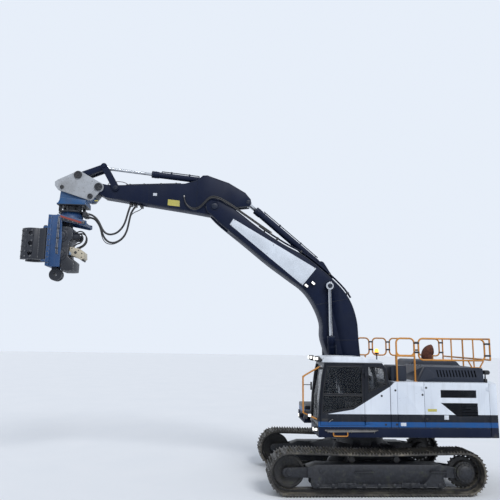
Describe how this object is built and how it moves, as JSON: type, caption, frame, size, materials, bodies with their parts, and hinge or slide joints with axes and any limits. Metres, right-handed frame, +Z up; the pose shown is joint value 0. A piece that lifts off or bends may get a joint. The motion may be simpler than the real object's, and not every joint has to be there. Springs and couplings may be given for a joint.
{
  "type": "pile driver rig",
  "caption": "Crawler excavator rig with a cranked boom and stick that carries a side gripping vibratory pile driving head with jaws and hanging hoses.",
  "frame": {"origin": "on the ground under the middle of the slew ring", "axes": "+X forward to the boom and head, +Y to the left (cab side), +Z up"},
  "size_m": [11.9911, 3.2, 7.9811],
  "materials": {
    "dark_paint": "dark navy enamel, salt stained",
    "bare_steel": "worn muddy steel",
    "white_paint": "white enamel with road film",
    "grey_paint": "dark grey satin paint",
    "rusty_steel": "heat rusted steel",
    "engine_iron": "grey cast iron",
    "glass": "tinted safety glass",
    "seat_cloth": "dark woven cloth",
    "yellow_paint": "orange yellow powder coat",
    "lamp": "black housing with a bright lens",
    "amber": "amber lens",
    "sign_sheet": "blank white sheet",
    "chrome": "polished hard chrome",
    "coupler_paint": "worn grey paint",
    "blue_paint": "strong blue enamel, scuffed",
    "black_paint": "black paint, oily",
    "cream_paint": "cream enamel",
    "hose_rubber": "black hydraulic hose rubber"
  },
  "bodies": {
    "undercarriage": {"carbody": "dark_paint", "slew_ring": "bare_steel", "track_frames": "dark_paint", "idlers": "bare_steel", "sprockets": "bare_steel", "rollers": "bare_steel", "track_left": "bare_steel", "track_right": "bare_steel"},
    "house": {"house_frame": "dark_paint", "counterweight": "white_paint", "engine_block": "engine_iron", "body_panels": "white_paint", "rear_cover": "grey_paint", "exhaust": "rusty_steel", "tank_block": "white_paint", "cab_frame": "dark_paint", "cab_roof": "white_paint", "cab_glass": "glass", "operator_seat": "seat_cloth", "cab_guard": "yellow_paint", "guard_rails": "yellow_paint", "work_lamps": "lamp", "beacon": "amber"},
    "cab_door": {"cab_door": "dark_paint", "cab_door_glass": "glass"},
    "door_front": {"door_front": "white_paint"},
    "door_rear": {"door_rear": "white_paint"},
    "door_right": {"door_right": "white_paint"},
    "hood": {"hood": "grey_paint"},
    "boom": {"boom": "dark_paint", "boom_signs": "sign_sheet", "boom_pipes": "dark_paint", "boom_lamps": "lamp"},
    "boom_barrels": {"boom_barrels": "dark_paint"},
    "boom_rods": {"boom_rods": "chrome"},
    "arm_barrel": {"arm_barrel": "dark_paint"},
    "arm_rod": {"arm_rod": "chrome"},
    "stick": {"stick": "dark_paint", "hose_front": "hose_rubber", "hose_rear": "hose_rubber", "hose_thin": "hose_rubber"},
    "tool_barrel": {"tool_barrel": "dark_paint"},
    "tool_rod": {"tool_rod": "chrome"},
    "guide_links": {"guide_links": "dark_paint"},
    "h_link": {"h_link": "dark_paint"},
    "coupler": {"coupler": "coupler_paint", "yoke": "blue_paint"},
    "head": {"head_frame": "blue_paint", "vibrator": "black_paint", "valve_box": "cream_paint", "bottom_clamp": "bare_steel"},
    "jaw_left": {"jaw_left": "bare_steel"},
    "jaw_right": {"jaw_right": "bare_steel"}
  },
  "joints": [
    {"name": "swing", "type": "hinge", "parent": "undercarriage", "child": "house", "pos_m": [0, 0, 0], "axis": [0, 0, 1], "continuous": true},
    {"name": "boom_lift", "type": "hinge", "parent": "house", "child": "boom", "pos_m": [0.15, 0, 1.97], "axis": [0, -1, 0], "range_deg": [-92, 12]},
    {"name": "stick_curl", "type": "hinge", "parent": "boom", "child": "stick", "pos_m": [3.85, 0, 6.87], "axis": [0, 1, 0], "range_deg": [-7, 98]},
    {"name": "tool_tilt", "type": "hinge", "parent": "stick", "child": "coupler", "pos_m": [6.92, 0, 7.3], "axis": [0, -1, 0], "range_deg": [-20, 90], "deforming": ["hose_front", "hose_rear", "hose_thin"]},
    {"name": "head_turn", "type": "hinge", "parent": "coupler", "child": "head", "pos_m": [7.61, 0, 6.58], "axis": [0, 0, 1], "range_deg": [-90, 90]},
    {"name": "jaw_left_open", "type": "hinge", "parent": "head", "child": "jaw_left", "pos_m": [8.175, 0.262, 5.7], "axis": [0, 0, 1], "range_deg": [0, 28]},
    {"name": "jaw_right_open", "type": "hinge", "parent": "head", "child": "jaw_right", "pos_m": [8.175, -0.262, 5.7], "axis": [0, 0, -1], "range_deg": [0, 28]},
    {"name": "cab_door_open", "type": "hinge", "parent": "house", "child": "cab_door", "pos_m": [0.25, 1.512, 2], "axis": [0, 0, 1], "range_deg": [0, 170]},
    {"name": "door_front_open", "type": "hinge", "parent": "house", "child": "door_front", "pos_m": [-1.127, 1.504, 2], "axis": [0, 0, 1], "range_deg": [0, 110]},
    {"name": "door_rear_open", "type": "hinge", "parent": "house", "child": "door_rear", "pos_m": [-2.68, 1.504, 2], "axis": [0, 0, 1], "range_deg": [0, 110]},
    {"name": "door_right_open", "type": "hinge", "parent": "house", "child": "door_right", "pos_m": [-2.62, -1.504, 2], "axis": [0, 0, -1], "range_deg": [0, 110]},
    {"name": "hood_open", "type": "hinge", "parent": "house", "child": "hood", "pos_m": [-2.715, 0, 2.496], "axis": [0, 1, 0], "range_deg": [-50, 0]},
    {"name": "boom_barrel_turn", "type": "hinge", "parent": "house", "child": "boom_barrels", "pos_m": [0.75, 0, 1.5], "axis": [0, -1, 0], "range_deg": [-97, 13]},
    {"name": "boom_rod_slide", "type": "slide", "parent": "boom_barrels", "child": "boom_rods", "axis": [0.0182, 0, 0.9998], "range_m": [-1.09, 0.15]},
    {"name": "arm_barrel_turn", "type": "hinge", "parent": "boom", "child": "arm_barrel", "pos_m": [0.98, 0, 5.38], "axis": [0, -1, 0], "range_deg": [-4, 1]},
    {"name": "arm_rod_slide", "type": "slide", "parent": "arm_barrel", "child": "arm_rod", "axis": [0.7666, 0, 0.6421], "range_m": [-0.11, 1.39]},
    {"name": "tool_barrel_turn", "type": "hinge", "parent": "stick", "child": "tool_barrel", "pos_m": [4.05, 0, 7.62], "axis": [0, -1, 0], "range_deg": [-4, 1]},
    {"name": "tool_rod_slide", "type": "slide", "parent": "tool_barrel", "child": "tool_rod", "axis": [0.9953, 0, 0.097], "range_m": [-0.93, 0.22]},
    {"name": "guide_turn", "type": "hinge", "parent": "stick", "child": "guide_links", "pos_m": [6.48, 0, 7.3], "axis": [0, -1, 0], "range_deg": [-20, 87]},
    {"name": "h_link_turn", "type": "hinge", "parent": "coupler", "child": "h_link", "pos_m": [7.47, 0, 7.615], "axis": [0, -1, 0], "range_deg": [-55, 13]}
  ],
  "couplings": [
    {"joint": "boom_barrel_turn", "follows": "boom_lift", "ratio": 1.048},
    {"joint": "boom_rod_slide", "follows": "boom_lift", "m_per_rad": 0.67042},
    {"joint": "arm_barrel_turn", "follows": "stick_curl", "ratio": -0.0321},
    {"joint": "arm_rod_slide", "follows": "stick_curl", "m_per_rad": 0.80138},
    {"joint": "tool_barrel_turn", "follows": "tool_tilt", "ratio": -0.0396},
    {"joint": "tool_rod_slide", "follows": "tool_tilt", "m_per_rad": -0.58143},
    {"joint": "guide_turn", "follows": "tool_tilt", "ratio": 0.9498},
    {"joint": "h_link_turn", "follows": "tool_tilt", "ratio": -0.5954},
    {"joint": "jaw_right_open", "follows": "jaw_left_open", "ratio": 1}
  ]
}
